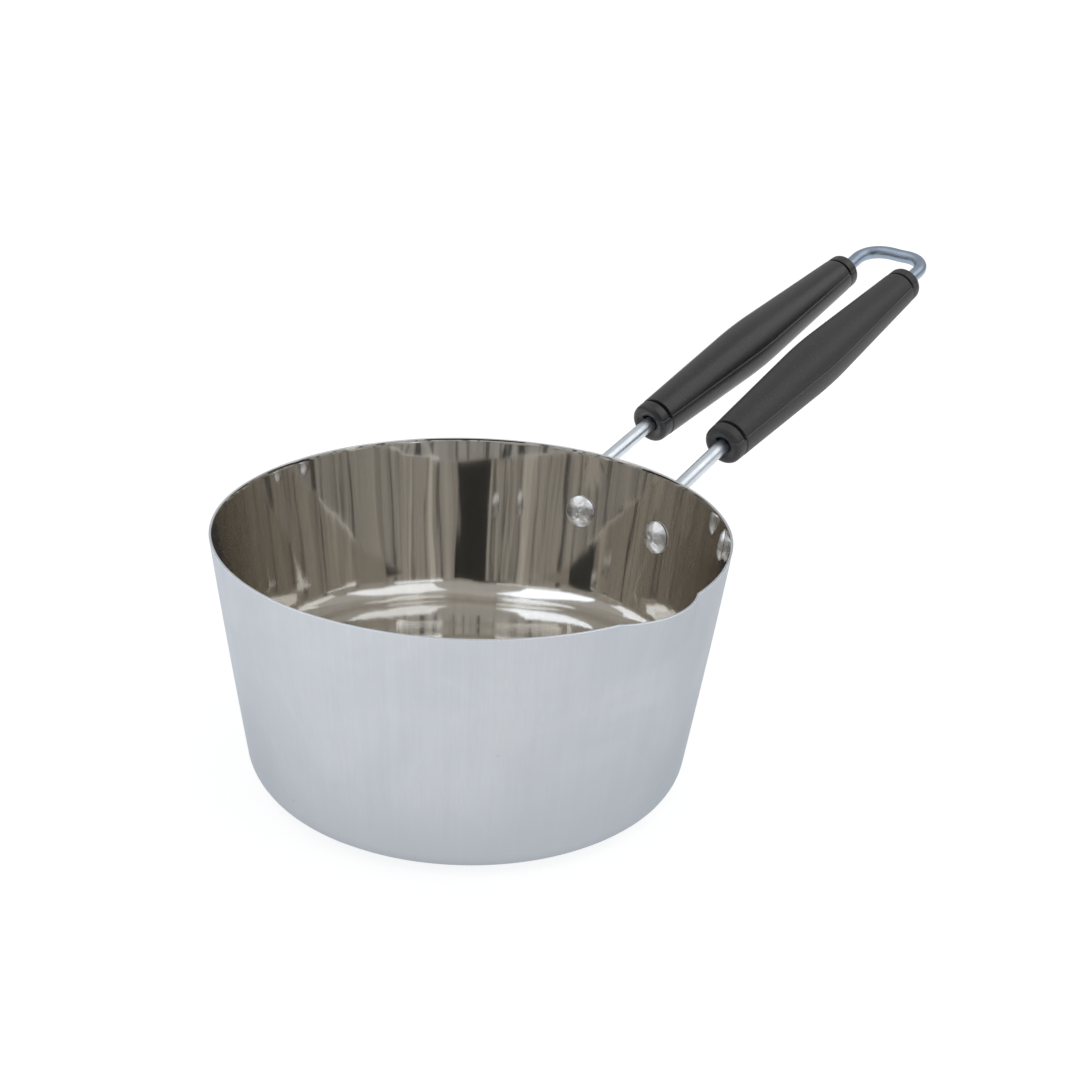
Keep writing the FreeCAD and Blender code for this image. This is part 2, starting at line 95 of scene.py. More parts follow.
def clean(obj, sharp_degrees):
    """Welds, turns faces outwards and splits the shading at steeper edges."""
    bm = bmesh.new()
    bm.from_mesh(obj.data)
    bmesh.ops.remove_doubles(bm, verts=bm.verts, dist=1e-7)
    bmesh.ops.recalc_face_normals(bm, faces=bm.faces)
    bm.normal_update()
    limit = math.radians(sharp_degrees)
    for edge in bm.edges:
        if len(edge.link_faces) == 2:
            edge.smooth = edge.calc_face_angle(0.0) < limit
    bm.to_mesh(obj.data)
    bm.free()


def register(obj, node):
    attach(obj, "root")
    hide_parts(node)


def smoothstep(start, end, x):
    t = np.clip((np.asarray(x, float) - start) / (end - start), 0, 1)
    return t * t * (3 - 2 * t)


def between(start, end, share):
    return start * (1 - share) + end * share


def unit(vector):
    return vector / np.linalg.norm(vector)


# ------------------------------------------------------------ node helpers
class Graph:
    def __init__(self, tree):
        self.tree = tree
        tree.nodes.clear()

    def node(self, kind, *values, inputs={}, **props):
        """Node with inputs set in socket order (values) or by key (inputs)."""
        node = self.tree.nodes.new(kind)
        for key, value in props.items():
            setattr(node, key, value)
        for key, value in [*enumerate(values), *inputs.items()]:
            if isinstance(value, bpy.types.NodeSocket):
                self.tree.links.new(value, node.inputs[key])
            else:
                node.inputs[key].default_value = value
        return node

    def calc(self, operation, *values):
        return self.node("ShaderNodeMath", *values, operation=operation).outputs[0]

    def mul(self, a, b):
        return self.calc("MULTIPLY", a, b)

    def sub(self, a, b):
        return self.calc("SUBTRACT", a, b)

    def add(self, a, b, amount=None):
        """a + b, or a + b * amount."""
        return self.calc("ADD", a, b if amount is None else self.mul(b, amount))

    def weigh(self, first, *others):
        """Weighted sum of (value, weight) pairs."""
        part = self.mul(*first)
        return self.add(part, self.weigh(*others)) if others else part

    def ramp(self, x, span, to=(0.0, 1.0), kind="SMOOTHSTEP"):
        node = self.node("ShaderNodeMapRange", x, *span, *to, interpolation_type=kind)
        return node.outputs[0]

    def linear(self, x, span, to=(0.0, 1.0)):
        return self.ramp(x, span, to, "LINEAR")

    def band(self, x, low, high, soft):
        """1 between low and high, fading over soft to each side of both."""
        rise = self.ramp(x, (low - soft, low + soft))
        fall = self.ramp(x, (high - soft, high + soft), (1.0, 0.0))
        return self.mul(rise, fall)

    def noise(self, at, scale, detail=2.0, rough=0.5, distortion=0.0, dims="3D"):
        inputs = {
            "W" if dims == "1D" else "Vector": at,
            "Scale": scale,
            "Detail": detail,
            "Roughness": rough,
            "Distortion": distortion,
        }
        return self.node("ShaderNodeTexNoise", inputs=inputs, noise_dimensions=dims).outputs[0]

    def mix(self, factor, a, b, amount=None, blend="MIX"):
        """Colour from a to b by factor, or by factor * amount."""
        if amount is not None:
            factor = self.mul(factor, amount)
        inputs = {0: factor, 6: a, 7: b}
        node = self.node("ShaderNodeMix", inputs=inputs, data_type="RGBA", blend_type=blend)
        return node.outputs[2]

    def join(self, x, y, z):
        return self.node("ShaderNodeCombineXYZ", x, y, z).outputs[0]

    def split(self, vector):
        return tuple(self.node("ShaderNodeSeparateXYZ", vector).outputs)

    def position(self):
        return self.node("ShaderNodeTexCoord").outputs["Object"]

    def radius(self, x, y):
        return self.calc("SQRT", self.add(self.mul(x, x), self.mul(y, y)))

    def around(self, squeeze):
        """Point on a ring of unit radius with its height scaled by squeeze, so
        that patterns run up the wall and close on themselves; and the true z."""
        x, y, z = self.split(self.position())
        r = self.calc("MAXIMUM", self.radius(x, y), 0.0001)
        ring = self.join(
            self.calc("DIVIDE", x, r), self.calc("DIVIDE", y, r), self.mul(z, squeeze)
        )
        return ring, z

    def bump(self, height, strength, distance):
        inputs = {"Strength": strength, "Distance": distance, "Height": height}
        return self.node("ShaderNodeBump", inputs=inputs).outputs[0]

    def surface(self, colour, rough, metallic, normal, extra={}):
        inputs = {
            "Base Color": colour,
            "Roughness": rough,
            "Metallic": metallic,
            "Normal": normal,
            **extra,
        }
        shader = self.node("ShaderNodeBsdfPrincipled", inputs=inputs)
        self.node("ShaderNodeOutputMaterial", shader.outputs[0])

    def mix_shader(self, factor, a, b):
        return self.node("ShaderNodeMixShader", factor, a.outputs[0], b.outputs[0]).outputs[0]


def material(name):
    mat = bpy.data.materials.new(name)
    mat.use_nodes = True
    return mat, Graph(mat.node_tree)


def rgb(red, green, blue):
    return (red, green, blue, 1.0)


# --------------------------------------------------------------- materials
def steel_outside():
    mat, net = material("sheet_steel_satin")
    ring, z = net.around(squeeze=0.375)
    place = net.position()
    fine = net.noise(ring, scale=130, detail=3, rough=0.6)
    broad = net.noise(ring, scale=22, detail=3, rough=0.55)
    cloud = net.noise(place, scale=26, detail=4, rough=0.6, distortion=0.6)
    blot = net.noise(place, scale=10, detail=3, rough=0.55, distortion=0.4)
    tone = net.weigh((fine, 0.17), (broad, 0.21), (cloud, 0.62))
    shade = net.linear(tone, span=(0.40, 0.60))
    colour = net.mix(shade, rgb(0.540, 0.568, 0.607), rgb(0.602, 0.630, 0.665))
    blots = net.ramp(blot, span=(0.46, 0.66), to=(0, 0.6))
    colour = net.mix(blots, colour, rgb(0.520, 0.545, 0.580))
    # slightly duller low down
    low = net.ramp(z, span=(0.004, 0.040), to=(1, 0))
    colour = net.mix(low, colour, rgb(0.495, 0.522, 0.560), amount=0.5)
    # small dark marks, in patches
    inputs = {"Vector": place, "Scale": 95.0}
    spots = net.node("ShaderNodeTexVoronoi", inputs=inputs, feature="F1")
    mark = net.ramp(spots.outputs["Distance"], span=(0.03, 0.08), to=(1, 0))
    patches = net.ramp(net.noise(place, scale=33, detail=1), span=(0.55, 0.62))
    mark = net.mul(mark, patches)
    colour = net.mix(mark, colour, rgb(0.36, 0.36, 0.38), amount=0.22)
    # hair scratches up the wall
    hair = net.ramp(net.noise(ring, scale=420, detail=1), span=(0.66, 0.72))
    hair = net.mul(hair, net.ramp(cloud, span=(0.45, 0.6)))
    colour = net.mix(hair, colour, rgb(0.68, 0.71, 0.74), amount=0.5)
    rough = net.linear(tone, span=(0.36, 0.64), to=(0.36, 0.46))
    rough = net.add(rough, mark, amount=0.1)
    normal = net.bump(net.weigh((fine, 0.4), (cloud, 0.5)), strength=0.35, distance=0.00012)
    extra = {"Specular Tint": rgb(0.80, 0.82, 0.86)}
    net.surface(colour, rough, metallic=1.0, normal=normal, extra=extra)
    return mat


def steel_inside():
    mat, net = material("sheet_steel_polished")
    ring, _ = net.around(squeeze=0.25)
    steep_ring, _ = net.around(squeeze=1.25)
    fine = net.noise(ring, scale=190, detail=3, rough=0.6)
    streak = net.noise(ring, scale=24, detail=3, rough=0.6)
    wave = net.noise(steep_ring, scale=9, distortion=0.3)
    cloud = net.noise(net.position(), scale=30)
    tone = net.weigh((fine, 0.4), (streak, 0.6))
    shade = net.linear(tone, span=(0.35, 0.65))
    colour = net.mix(shade, rgb(0.705, 0.678, 0.635), rgb(0.745, 0.718, 0.675))
    clouds = net.ramp(cloud, span=(0.5, 0.75), to=(0, 0.3))
    colour = net.mix(clouds, colour, rgb(0.69, 0.66, 0.615))
    rough = net.linear(tone, span=(0.35, 0.65), to=(0.03, 0.05))
    normal = net.bump(net.weigh((streak, 0.10), (wave, 1.0)), strength=1, distance=0.000035)
    net.surface(colour, rough, metallic=0.97, normal=normal)
    return mat


def steel_rim():
    mat, net = material("sheet_steel_cut_edge")
    place = net.position()
    grain = net.noise(place, scale=900, rough=0.6)
    wear = net.noise(place, scale=60, detail=3, rough=0.6)
    colour = net.mix(wear, rgb(0.78, 0.83, 0.89), rgb(0.90, 0.94, 0.98))
    rough = net.linear(wear, span=(0.3, 0.7), to=(0.22, 0.36))
    normal = net.bump(grain, strength=0.2, distance=0.00004)
    net.surface(colour, rough, metallic=1.0, normal=normal)
    return mat


def wire_steel():
    mat, net = material("drawn_wire_plated")
    place = net.position()
    x, y, z = net.split(place)
    stretch = 0.04  # draws the grain out along x
    drawn = net.noise(net.join(net.mul(x, stretch), y, z), scale=1600, rough=0.6)
    mottle = net.noise(place, scale=170, detail=3, rough=0.6)
    broad = net.noise(place, scale=38)
    tone = net.weigh((mottle, 0.6), (broad, 0.4))
    shade = net.linear(tone, span=(0.35, 0.65))
    colour = net.mix(shade, rgb(0.50, 0.555, 0.62), rgb(0.62, 0.68, 0.745))
    rough = net.linear(tone, span=(0.35, 0.65), to=(0.38, 0.30))
    # painted light: the legs are painted brighter and the loop darker and bluer, standing in for
    # the brighter and dimmer room that each reflects
    loop = net.ramp(x, span=(0.20, 0.24))
    painted_light_tint = net.mix(loop, rgb(1.28, 1.24, 1.20), rgb(0.64, 0.69, 0.75))
    colour = net.mix(1.0, colour, painted_light_tint, blend="MULTIPLY")
    normal = net.bump(net.weigh((drawn, 0.6), (mottle, 0.7)), strength=0.3, distance=0.00006)
    net.surface(colour, rough, metallic=1.0, normal=normal)
    return mat


def grip_plastic(name, shine, seam_normal, seam_distance):
    """Moulded plastic; the seam is the plane where the shells meet."""
    mat, net = material(name)
    place = net.position()
    grain = net.noise(place, scale=1150, rough=0.6)
    skin = net.noise(place, scale=240, detail=3, rough=0.6)
    cloud = net.noise(place, scale=36, detail=3, rough=0.6)
    shade = net.linear(cloud, span=(0.3, 0.7))
    colour = net.mix(shade, rgb(0.023, 0.0222, 0.0226), rgb(0.031, 0.0302, 0.0306))
    dust = net.ramp(skin, span=(0.60, 0.78), to=(0, 0.25))
    colour = net.mix(dust, colour, rgb(0.06, 0.059, 0.058))
    rough = net.linear(cloud, span=(0.3, 0.7), to=(0.46 - shine, 0.54 - shine))
    rough = net.add(rough, dust, amount=0.2)
    # paler edges, a painted highlight where they catch the light, and paler grain
    pointiness = net.node("ShaderNodeNewGeometry").outputs["Pointiness"]
    edge_highlight = net.ramp(pointiness, span=(0.52, 0.60))
    colour = net.mix(edge_highlight, colour, rgb(0.075, 0.073, 0.071), amount=0.5)
    grains = net.ramp(grain, span=(0.50, 0.72), to=(0, 0.6))
    colour = net.mix(grains, colour, rgb(0.055, 0.053, 0.054))
    # painted highlight: a paler, rougher line just below the seam, where its ridge catches the
    # light
    dot = net.node("ShaderNodeVectorMath", place, seam_normal, operation="DOT_PRODUCT")
    gap = net.sub(dot.outputs["Value"], seam_distance)
    seam_highlight = net.band(gap, low=-0.00030, high=-0.00002, soft=0.00008)
    seam_highlight = net.mul(seam_highlight, net.ramp(cloud, span=(0.35, 0.55), to=(0.35, 1)))
    colour = net.mix(seam_highlight, colour, rgb(0.105, 0.10, 0.10), amount=0.8)
    rough = net.add(rough, seam_highlight, amount=0.1)
    normal = net.bump(net.weigh((grain, 0.9), (skin, 0.8)), strength=0.5, distance=0.00009)
    net.surface(colour, rough, metallic=0.0, normal=normal, extra={"IOR": 1.52})
    return mat


def rivet_metal():
    mat, net = material("rivet_aluminium")
    place = net.position()
    fine = net.noise(place, scale=1300, detail=3, rough=0.6)
    dent = net.noise(place, scale=420)
    shade = net.linear(dent, span=(0.3, 0.7))
    colour = net.mix(shade, rgb(0.76, 0.76, 0.76), rgb(0.90, 0.90, 0.90))
    rough = net.linear(fine, span=(0.3, 0.7), to=(0.26, 0.42))
    fine_share = 0.3
    height = net.add(net.mul(fine, fine_share), dent)
    normal = net.bump(height, strength=0.6, distance=0.00025)
    net.surface(colour, rough, metallic=1.0, normal=normal)
    return mat


PAN_MATS = [steel_outside(), steel_inside(), steel_rim()]
OUTSIDE, INSIDE, EDGE = 0, 1, 2  # slots of PAN_MATS
WIRE_MAT, RIVET_MAT = wire_steel(), rivet_metal()


# --------------------------------------------------------------------- pan
FLOOR_ROWS, CORNER_STEPS, WALL_ROWS = 15, 12, 34
LIP_COLUMNS, OTHER_COLUMNS = 56, 484
LIP_DEPTH = 20.0
CREASE_DEPTH = 17
BELLY = 0.18  # fullness of the wall at half height
OUTER_ROUND, INNER_ROUND = 0.20, 0.16  # of the cut edge
# unevenness of the wall: waves round, height, sway, pitch of the sway
WAVES = (
    (3, 0.05, 0.6, 22), (5, 0.05, 0.6, 22), (8, 0.045, 0.6, 22), (11, 0.04, 0.7, 18),
    (17, 0.016, 0.8, 15), (24, 0.009, 1.0, 12), (35, 0.004, 1.2, 9), (52, 0.0016, 1.2, 7),
)


def pan_profile():
    """Outline from the centre of the underside over the rim to the centre of
    the floor inside: rows of (r, z, weight of the unevenness, slot)."""

    def belly(z):
        t = (z - CORNER_R) / (HEIGHT - CORNER_R)
        return BELLY * max(0.0, 1 - (2 * t - 1) ** 2)

    def inner(z):
        return cone_r(z) - GAUGE / math.cos(LEAN) + belly(z)

    def corner(radius, degrees):
        t = math.radians(degrees)
        return CORNER_CENTRE + radius * math.cos(t), CORNER_R + radius * math.sin(t)

    corner_top = -math.degrees(LEAN)
    rows = [(r, 0.0, 0.0, OUTSIDE) for r in np.linspace(0.0, CORNER_CENTRE, FLOOR_ROWS)]
    for step, angle in enumerate(np.linspace(-90.0, corner_top, CORNER_STEPS + 1)[1:], 1):
        weight = smoothstep(0, CORNER_STEPS, step)
        rows.append((*corner(CORNER_R, angle), weight, OUTSIDE))
    start, top = rows[-1][1], HEIGHT - OUTER_ROUND
    for share in 1 - (1 - np.linspace(0, 1, WALL_ROWS)[1:]) ** 1.25:
        z = start + (top - start) * share
        rows.append((cone_r(z) + belly(z), z, 1.0, OUTSIDE))
    # cut edge: outer round, flat, inner round
    edge_r = cone_r(HEIGHT)
    for angle in (25, 50, 75):
        t = math.radians(angle)
        r = edge_r - OUTER_ROUND + OUTER_ROUND * math.cos(t)
        rows.append((r, top + OUTER_ROUND * math.sin(t), 1.0, EDGE))
    rows += [(edge_r - 0.22, HEIGHT, 1.0, EDGE), (edge_r - 0.44, HEIGHT, 1.0, EDGE)]
    for angle in (88, 65, 40, 15):
        t = math.radians(angle)
        r = inner(HEIGHT) + INNER_ROUND - INNER_ROUND * math.cos(t)
        z = HEIGHT - INNER_ROUND + INNER_ROUND * math.sin(t)
        rows.append((r, z, 1.0, EDGE if angle > 60 else INSIDE))
    top = HEIGHT - 0.19
    end = CORNER_R - (CORNER_R - GAUGE) * math.sin(LEAN)
    for share in np.linspace(0, 1, WALL_ROWS) ** 1.15:
        z = top + (end - top) * share
        rows.append((inner(z), z, 1.0, INSIDE))
    for step, angle in enumerate(np.linspace(corner_top, -90.0, CORNER_STEPS + 1)[1:], 1):
        weight = 1 - smoothstep(0, CORNER_STEPS, step)
        rows.append((*corner(CORNER_R - GAUGE, angle), weight, INSIDE))
    for r in np.linspace(CORNER_CENTRE, 0.0, FLOOR_ROWS)[1:]:
        rows.append((r, GAUGE, 0.0, INSIDE))
    return rows


def pan():
    rows = pan_profile()
    r, z, weight = (np.array([row[k] for row in rows])[:, None] for k in range(3))
    lip_start, lip_end = LIP_AZ - LIP_HALF, LIP_AZ + LIP_HALF
    theta = np.concatenate([
        np.linspace(lip_start, lip_end, LIP_COLUMNS + 1)[:-1],
        np.linspace(lip_end, lip_start + 2 * math.pi, OTHER_COLUMNS + 1)[:-1],
    ])
    # pressed lip: an arc with creases at both ends that dies out down the wall
    turn = math.pi / LIP_HALF
    phi = (theta - LIP_AZ) / LIP_HALF
    phi = (phi + turn) % (2 * turn) - turn
    depth = np.clip((HEIGHT - z) / LIP_DEPTH, 0, 1)
    lip = LIP_OUT * np.clip(1 - phi**2, 0, None) * (1 - depth) ** 1.25
    rng = np.random.default_rng(7)
    wave = np.zeros(lip.shape)
    for count, height, sway, pitch in WAVES:
        a, b, c = rng.uniform(0, 2 * math.pi, 3)
        ripple = np.cos(count * theta + a + sway * np.sin(z / pitch + b))
        wave += height * ripple * (0.7 + 0.3 * np.cos(z / 27.0 + c))
    radius = r + lip + wave * weight
    heights = np.broadcast_to(z, radius.shape)
    points = np.stack([radius * np.cos(theta), radius * np.sin(theta), heights], axis=2)
    verts = np.vstack([[0, 0, z[0, 0]], points[1:-1].reshape(-1, 3), [0, 0, z[-1, 0]]])
    columns, last_row, last = len(theta), len(rows) - 2, len(verts) - 1

    def index(i, j):
        return 1 + (i - 1) * columns + j % columns

    faces = [(0, index(1, j + 1), index(1, j)) for j in range(columns)]
    face_slots = [OUTSIDE] * columns
    for i in range(1, last_row):
        for j in range(columns):
            faces.append((index(i, j), index(i, j + 1), index(i + 1, j + 1), index(i + 1, j)))
            face_slots.append(rows[i + 1][3])
    faces += [(last, index(last_row, j), index(last_row, j + 1)) for j in range(columns)]
    face_slots += [INSIDE] * columns
    obj = build("pan", verts, faces, PAN_MATS, face_slots)
    # creases of the lip
    attributes = obj.data.attributes
    sharp = attributes.get("sharp_edge") or attributes.new("sharp_edge", "BOOLEAN", "EDGE")
    creases = {
        tuple(sorted((index(i, j), index(i + 1, j))))
        for i in range(1, last_row)
        for j in (0, LIP_COLUMNS)
        if min(rows[i][1], rows[i + 1][1]) > HEIGHT - CREASE_DEPTH
    }
    flags = [tuple(sorted(edge.vertices)) in creases for edge in obj.data.edges]
    sharp.data.foreach_set("value", flags)
    register(obj, "pot_body")


pan()


# -------------------------------------------------------------------- wire
YAW = math.radians(1.02)  # of each leg towards y = 0
BEND_SLOPE, GRIP_SLOPE = math.radians(18.8), math.radians(16.45)  # before and in the grip
GRIP_X, GRIP_Z = 110.7, 83.57  # where the grip starts and the slope changes
LOOP_X = 253.9
RIVET_X, RIVET_Y = RIVET_R * math.cos(RIVET_AZ), RIVET_R * math.sin(RIVET_AZ)
WALL_CLEAR = WIRE_R + 0.06  # centre line from the wall
FOOT_UP = 7.8  # round wire starts this far above the rivet
WIRE_SEGMENTS = 32
PAD_R, PAD_HALF = 5.2, 1.0  # the flattened end round the rivet
# stations of the flattened end: distance down the wall from the rivet
PAD_STATIONS = (
    5.18, 5.1, 4.9, 4.5, 3.9, 3.0, 2.0, 1.0, 0.0, -1.2, -2.4, -3.4, -4.2, -5.0, -5.8, -6.6, -7.3,
)


def leg_y(x):
    return RIVET_Y - (x - RIVET_X) * math.tan(YAW)


def leg(x, z):
    """Point on the +Y leg."""
    return np.array([x, leg_y(x), z])


def wall_x(z, clear):
    """x at which the +Y leg stands clear of the wall at height z."""
    x = RIVET_X
    for _ in range(20):
        want = cone_r(z) + clear / math.cos(LEAN)
        x += (want - math.hypot(x, leg_y(x))) / (x / want)
    return x


def wall_frame(side):
    """Origin, out of the wall, down the wall and sideways at a rivet."""
    cos_az, sin_az = math.cos(side * RIVET_AZ), math.sin(side * RIVET_AZ)
    cos_lean, sin_lean = math.cos(LEAN), math.sin(LEAN)
    out = np.array([cos_az * cos_lean, sin_az * cos_lean, -sin_lean])
    down = np.array([-cos_az * sin_lean, -sin_az * sin_lean, -cos_lean])
    origin = np.array([RIVET_R * cos_az, RIVET_R * sin_az, RIVET_Z])
    return origin, out, down, np.cross(out, down)


def bend(before, corner, after, radius, count):
    """Arc that rounds the corner between two straight runs."""
    u, w = unit(before - corner), unit(after - corner)
    half = math.acos(np.clip(u @ w, -1, 1)) / 2
    back = radius / math.tan(half)
    centre = corner + unit(u + w) * (radius / math.sin(half))
    start, end = corner + u * back - centre, corner + w * back - centre
    total = math.acos(np.clip(unit(start) @ unit(end), -1, 1))
    return [
        centre
        + (math.sin((1 - t) * total) * start + math.sin(t * total) * end) / math.sin(total)
        for t in np.linspace(0, 1, count)
    ]


def run(start, end, step):
    """Points strictly between start and end, about a step apart."""
    count = max(2, int(np.linalg.norm(end - start) / step) + 1)
    return [start + (end - start) * t for t in np.linspace(0, 1, count)][1:-1]


def half_path():
    """Centre line of the +Y leg from its foot on the wall to the loop's
    middle; the middle point; and the loop's corner before rounding."""
    x = 80.0
    for _ in range(40):
        z = GRIP_Z - (GRIP_X - x) * math.tan(BEND_SLOPE)
        x = wall_x(z, WALL_CLEAR)
    corner, kink = leg(x, z), leg(GRIP_X, GRIP_Z)
    foot_z = RIVET_Z + FOOT_UP
    foot = leg(wall_x(foot_z, WALL_CLEAR), foot_z)
    tip = leg(LOOP_X, GRIP_Z + (LOOP_X - GRIP_X) * math.tan(GRIP_SLOPE))
    middle = np.array([tip[0], 0.0, tip[2]])
    low = bend(foot, corner, kink, radius=6.5, count=14)
    slight = bend(corner, kink, tip, radius=60.0, count=8)
    loop = bend(kink, tip, middle, radius=10.0, count=22)
    points = [foot] + run(foot, low[0], 1.0) + low
    points += run(low[-1], slight[0], 2.0) + slight
    points += run(slight[-1], loop[0], 3.0) + loop
    points += run(loop[-1], middle, 1.2)
    return points, middle, tip


def pad(side):
    """Flattened end: (centre, half width, half thickness, squareness)."""
    origin, out, down, _ = wall_frame(side)
    stations = []
    for drop in PAD_STATIONS:
        t = float(smoothstep(-3.0, -7.9, drop)) if drop < -3.0 else 0.0
        width = math.sqrt(max(PAD_R**2 - max(drop, 0.0) ** 2, 0.05))
        thick = PAD_HALF if drop < 4.4 else PAD_HALF - 0.35 * (drop - 4.4) / 0.8
        centre = origin + out * between(1.03, WALL_CLEAR, t) + down * drop
        size = between(width, WIRE_R, t), between(thick, WIRE_R, t)
        stations.append((centre, *size, between(3.2, 2.0, t)))
    return stations


def wire():
    half, middle, tip = half_path()
    left = [np.array(point) for point in half]
    right = [point * np.array([1, -1, 1]) for point in half]
    # the loop's +Y corner is pushed out a little
    along = unit(tip - leg(GRIP_X, GRIP_Z))
    for point in left:
        distance = np.linalg.norm(point - (tip + np.array([-4.0, 1.0, 0.0])))
        push = 1.25 * math.exp(-((distance / 11.0) ** 2)) * 0.75
        point += along * push + np.array([0.0, 1.0, 0.0]) * push * smoothstep(0, 8, point[1])
    path = [(point, WIRE_R, WIRE_R, 2.0) for point in left + [middle] + right[::-1]]
    stations = pad(1) + path + pad(-1)[::-1]
    centres = np.array([station[0] for station in stations])
    tangents = np.gradient(centres, axis=0)
    tangents /= np.linalg.norm(tangents, axis=1)[:, None]

    # carry the frame along the wire, then share out the twist that is left
    def square_to(vector, tangent):
        return unit(vector - tangent * (vector @ tangent))

    normals = [square_to(wall_frame(1)[1], tangents[0])]
    for tangent in tangents[1:]:
        normals.append(square_to(normals[-1], tangent))
    want = square_to(wall_frame(-1)[1], tangents[-1])
    twist = math.atan2(want @ np.cross(tangents[-1], normals[-1]), want @ normals[-1])
    first, final = len(PAD_STATIONS), len(stations) - len(PAD_STATIONS)
    count = WIRE_SEGMENTS
    verts, faces = [], []
    for i, (centre, width, thick, squareness) in enumerate(stations):
        angle = twist * float(np.clip((i - first) / (final - first), 0, 1))
        flank = np.cross(tangents[i], normals[i])
        normal = normals[i] * math.cos(angle) + flank * math.sin(angle)
        flank = np.cross(tangents[i], normal)
        power = 2.0 / squareness
        for k in range(count):
            t = 2 * math.pi * k / count
            cos_t, sin_t = math.cos(t), math.sin(t)
            up = thick * math.copysign(abs(cos_t) ** power, cos_t)
            across = width * math.copysign(abs(sin_t) ** power, sin_t)
            verts.append(centre + normal * up + flank * across)
    for i in range(len(stations) - 1):
        a, b = i * count, (i + 1) * count
        for k in range(count):
            after = (k + 1) % count
            faces.append((a + k, a + after, b + after, b + k))
    for i, flip in ((0, True), (len(stations) - 1, False)):
        verts.append(stations[i][0])
        cap = len(verts) - 1
        for k in range(count):
            a, b = i * count + k, i * count + (k + 1) % count
            faces.append((cap, b, a) if flip else (cap, a, b))
    obj = build("wire_handle", verts, faces, [WIRE_MAT])
    clean(obj, sharp_degrees=50)
    register(obj, "handle_wire")


wire()


# ------------------------------------------------------------------- grips
# A grip's own x runs along the wire from GRIP_X outwards, its z upwards.
GRIP_LENGTH = 129.7
SEAM_Z = 2.7  # the joint plane above the wire's centre line
BORE_R = 2.62
START_R, MIDDLE_R, END_R = 7.5, 9.72, 7.05
TAPER_START, TAPER_END, MIDDLE_X = 5.6, GRIP_LENGTH - 5.8, 62.0
MIDDLE_HALF = 11  # half length of the rounded middle
# (x, outside radius, in the ring groove), near end
NEAR_GROOVE = (
    (3.0, 7.38, 0), (4.0, 7.41, 0), (4.20, 7.38, 0), (4.32, 7.25, 1), (4.36, 6.95, 1),
    (4.39, 6.35, 1), (4.55, 5.95, 1), (5.45, 5.95, 1), (5.61, 6.35, 1), (5.64, 6.95, 1),
    (5.68, 7.30, 1), (5.80, 7.50, 0),
)
# (x from TAPER_END, outside radius, in the ring groove), far end
FAR_GROOVE = (
    (-0.16, 7.0, 0), (-0.04, 6.83, 1), (0, 6.5, 1), (0.04, 6.1, 1), (0.2, 5.95, 1),
    (0.95, 5.95, 1), (1.1, 6.1, 1), (1.14, 6.5, 1), (1.18, 6.78, 1), (1.3, 6.88, 0),
    (1.7, 6.9, 0),
)


def grip_place(side):
    """Turn and start point of a grip's own axes."""
    rise = math.tan(GRIP_SLOPE)
    slope = math.asin(rise / math.sqrt(1 + rise**2 + math.tan(YAW) ** 2))
    turn = Matrix.Rotation(-side * YAW, 3, "Z") @ Matrix.Rotation(-slope, 3, "Y")
    return turn, leg(GRIP_X, GRIP_Z) * np.array([1, side, 1])


def grip_material(name, side, shine):
    turn, start = grip_place(side)
    normal = turn @ Vector((0, 0, 1))
    distance = (float(normal.dot(Vector(start))) + SEAM_Z) * MM
    return grip_plastic(name, shine, normal, distance)


GRIP_MAT = {
    1: grip_material("grip_plastic_handled", side=1, shine=0.20),
    -1: grip_material("grip_plastic_moulded", side=-1, shine=0.04),
}


def grip_outline():
    """(x, outside radius, in a ring groove) along a grip."""
    peak = MIDDLE_R + 0.2  # where the two tapers would meet
    near_slope = (peak - START_R) / (MIDDLE_X - TAPER_START)
    far_slope = (peak - END_R) / (TAPER_END - MIDDLE_X)

    def near(x):
        return x, START_R + (x - TAPER_START) * near_slope, 0

    def far(x):
        return x, END_R + (TAPER_END - x) * far_slope, 0

    points = []
    round_r = 1.7
    for t in np.radians(np.linspace(90, 6, 9)):
        x = round_r - round_r * math.sin(t)
        points.append((x, 7.3 - round_r + round_r * math.cos(t), 0))
    points += [(round_r + 0.4, 7.33, 0), *NEAR_GROOVE, near(6.1)]
    low_x, high_x = MIDDLE_X - MIDDLE_HALF, MIDDLE_X + MIDDLE_HALF
    points += [near(x) for x in np.linspace(TAPER_START + 2.0, low_x, 22)]
    # quadratic curve through the rounded middle
    low_r, high_r = near(low_x)[1], far(high_x)[1]
    pull_r = 2 * MIDDLE_R - (low_r + high_r) / 2
    for t in np.linspace(0, 1, 16)[1:-1]:
        a, b, c = (1 - t) ** 2, 2 * t * (1 - t), t * t
        x = a * low_x + b * MIDDLE_X + c * high_x
        points.append((x, a * low_r + b * pull_r + c * high_r, 0))
    points += [far(x) for x in np.linspace(high_x, TAPER_END - 2.0, 24)]
    points.append(far(TAPER_END - 0.5))
    points += [(TAPER_END + x, r, groove) for x, r, groove in FAR_GROOVE]
    points.append((GRIP_LENGTH - 2.5, 6.86, 0))
    round_r = 1.3
    for t in np.radians(np.linspace(5, 90, 8)):
        x = GRIP_LENGTH - round_r + round_r * math.sin(t)
        points.append((x, 6.82 - round_r + round_r * math.cos(t), 0))
    return points


def bore(x):
    """Radius of the opening round the wire: a shallow dish, then a bore."""
    if x < 1.5:
        return BORE_R + 2.2 * (1 - x / 1.5) ** 1.4
    if x > GRIP_LENGTH - 0.8:
        return BORE_R + 0.5 * (x - GRIP_LENGTH + 0.8)
    return BORE_R


